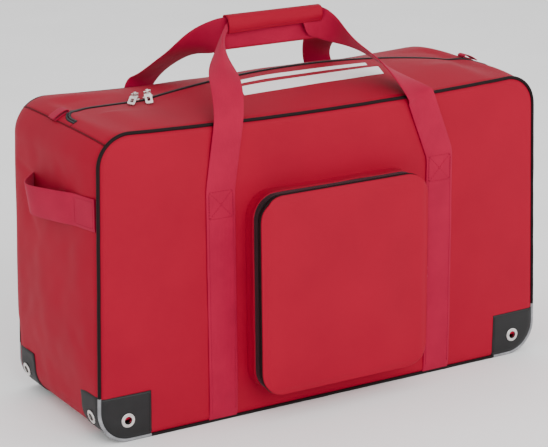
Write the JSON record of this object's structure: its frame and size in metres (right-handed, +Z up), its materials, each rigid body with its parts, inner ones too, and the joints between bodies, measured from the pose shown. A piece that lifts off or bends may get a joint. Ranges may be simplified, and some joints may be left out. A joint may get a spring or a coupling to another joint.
{
  "type": "hockey equipment bag",
  "caption": "Large soft carry bag for ice hockey gear: zipped domed top, joined carry handles, end grab handles, zipped front pocket, vinyl bottom corners with eyelets.",
  "frame": {"origin": "on the underside of the base, at the middle of the bag", "axes": "+X along the bag, -Y towards the pocket side, +Z up"},
  "size_m": [0.8872, 0.3524, 0.6035],
  "materials": {
    "bag_fabric": "woven polyester with a light coating",
    "base_fabric": "coated polyester, slightly worn",
    "webbing": "ribbed polyester webbing",
    "wrap_fabric": "woven polyester, turned over",
    "corner_vinyl": "charcoal coated vinyl",
    "black_piping": "black piping cord",
    "grey_piping": "light grey piping cord",
    "binding_tape": "grosgrain seam tape",
    "zip_tape": "black zip tape",
    "zip_coil": "black nylon coil",
    "zip_metal": "nickel plated",
    "small_zip_metal": "enamelled to match the fabric",
    "eyelet_metal": "nickel plated",
    "base_board": "black plastic board"
  },
  "bodies": {
    "bag": {"back_panel": "bag_fabric", "base_board": "base_board", "base_panel": "base_fabric", "corner_patch_back_left": "corner_vinyl", "corner_patch_back_right": "corner_vinyl", "corner_patch_front_left": "corner_vinyl", "corner_patch_front_right": "corner_vinyl", "corner_piping_back": "grey_piping", "corner_piping_front": "grey_piping", "end_handle_left": "webbing", "end_handle_right": "webbing", "end_panel_left": "bag_fabric", "end_panel_right": "bag_fabric", "eyelets": "eyelet_metal", "front_panel": "bag_fabric", "piping_back": "black_piping", "piping_front": "black_piping", "pocket_coil_body": "zip_coil", "pocket_gusset": "bag_fabric", "pocket_tape_body": "zip_tape", "seam_binding_back": "binding_tape", "seam_binding_front": "binding_tape", "sewn_straps_back": "webbing", "sewn_straps_front": "webbing", "top_back_panel": "bag_fabric", "top_front_strip": "bag_fabric", "zip_coil_body": "zip_coil", "zip_tab_left": "webbing", "zip_tab_right": "webbing", "zip_tape_body": "zip_tape"},
    "top_flap": {"top_flap": "bag_fabric", "zip_tape_flap": "zip_tape", "zip_coil_flap": "zip_coil"},
    "main_slider_left": {"main_slider_left": "zip_metal"},
    "main_slider_right": {"main_slider_right": "zip_metal"},
    "main_pull_left": {"main_pull_left": "zip_metal"},
    "main_pull_right": {"main_pull_right": "zip_metal"},
    "carry_handle_front": {"carry_handle_front": "webbing", "grip_wrap_front": "wrap_fabric"},
    "carry_handle_back": {"carry_handle_back": "webbing", "grip_wrap_back": "wrap_fabric"},
    "pocket_cover": {"pocket_cover": "bag_fabric", "pocket_tape_cover": "zip_tape", "pocket_coil_cover": "zip_coil", "pocket_piping": "black_piping"},
    "pocket_slider_upper": {"pocket_slider_upper": "small_zip_metal"},
    "pocket_slider_lower": {"pocket_slider_lower": "small_zip_metal"},
    "pocket_pull_upper": {"pocket_pull_upper": "small_zip_metal"},
    "pocket_pull_lower": {"pocket_pull_lower": "small_zip_metal"}
  },
  "joints": [
    {"name": "top_flap_hinge", "type": "hinge", "parent": "bag", "child": "top_flap", "pos_m": [0, -0.04, 0.4899], "axis": [1, 0, 0], "range_deg": [0, 40]},
    {"name": "main_slider_left_travel", "type": "slide", "parent": "top_flap", "child": "main_slider_left", "axis": [-1, 0, 0], "range_m": [0, 0.085]},
    {"name": "main_slider_right_travel", "type": "hinge", "parent": "top_flap", "child": "main_slider_right", "pos_m": [0.055, 0.03, -1.21408], "axis": [0, 1, 0], "range_deg": [0, 18]},
    {"name": "main_pull_left_swing", "type": "hinge", "parent": "main_slider_left", "child": "main_pull_left", "pos_m": [-0.243, 0.03, 0.4904], "axis": [-1, 0, 0], "range_deg": [0, 150]},
    {"name": "main_pull_right_swing", "type": "hinge", "parent": "main_slider_right", "child": "main_pull_right", "pos_m": [-0.22176, 0.03, 0.49208], "axis": [-0.9871, 0, -0.1602], "range_deg": [0, 150]},
    {"name": "carry_handle_front_fold", "type": "hinge", "parent": "bag", "child": "carry_handle_front", "pos_m": [0, -0.1537, 0.37615], "axis": [1, 0, 0], "range_deg": [0, 130]},
    {"name": "carry_handle_back_fold", "type": "hinge", "parent": "bag", "child": "carry_handle_back", "pos_m": [0, 0.1537, 0.37615], "axis": [-1, 0, 0], "range_deg": [0, 170]},
    {"name": "pocket_cover_hinge", "type": "hinge", "parent": "bag", "child": "pocket_cover", "pos_m": [0, -0.1994, 0.0436], "axis": [1, 0, 0], "range_deg": [0, 88]},
    {"name": "pocket_slider_upper_travel", "type": "slide", "parent": "bag", "child": "pocket_slider_upper", "axis": [0, 0, 1], "range_m": [0, 0.11]},
    {"name": "pocket_slider_lower_travel", "type": "slide", "parent": "bag", "child": "pocket_slider_lower", "axis": [0, 0, -1], "range_m": [0, 0.09]},
    {"name": "pocket_pull_upper_swing", "type": "hinge", "parent": "pocket_slider_upper", "child": "pocket_pull_upper", "pos_m": [0.1561, -0.1876, 0.199], "axis": [0, 0, -1], "range_deg": [0, 120]},
    {"name": "pocket_pull_lower_swing", "type": "hinge", "parent": "pocket_slider_lower", "child": "pocket_pull_lower", "pos_m": [0.1561, -0.1876, 0.185], "axis": [0, 0, -1], "range_deg": [0, 120]}
  ]
}
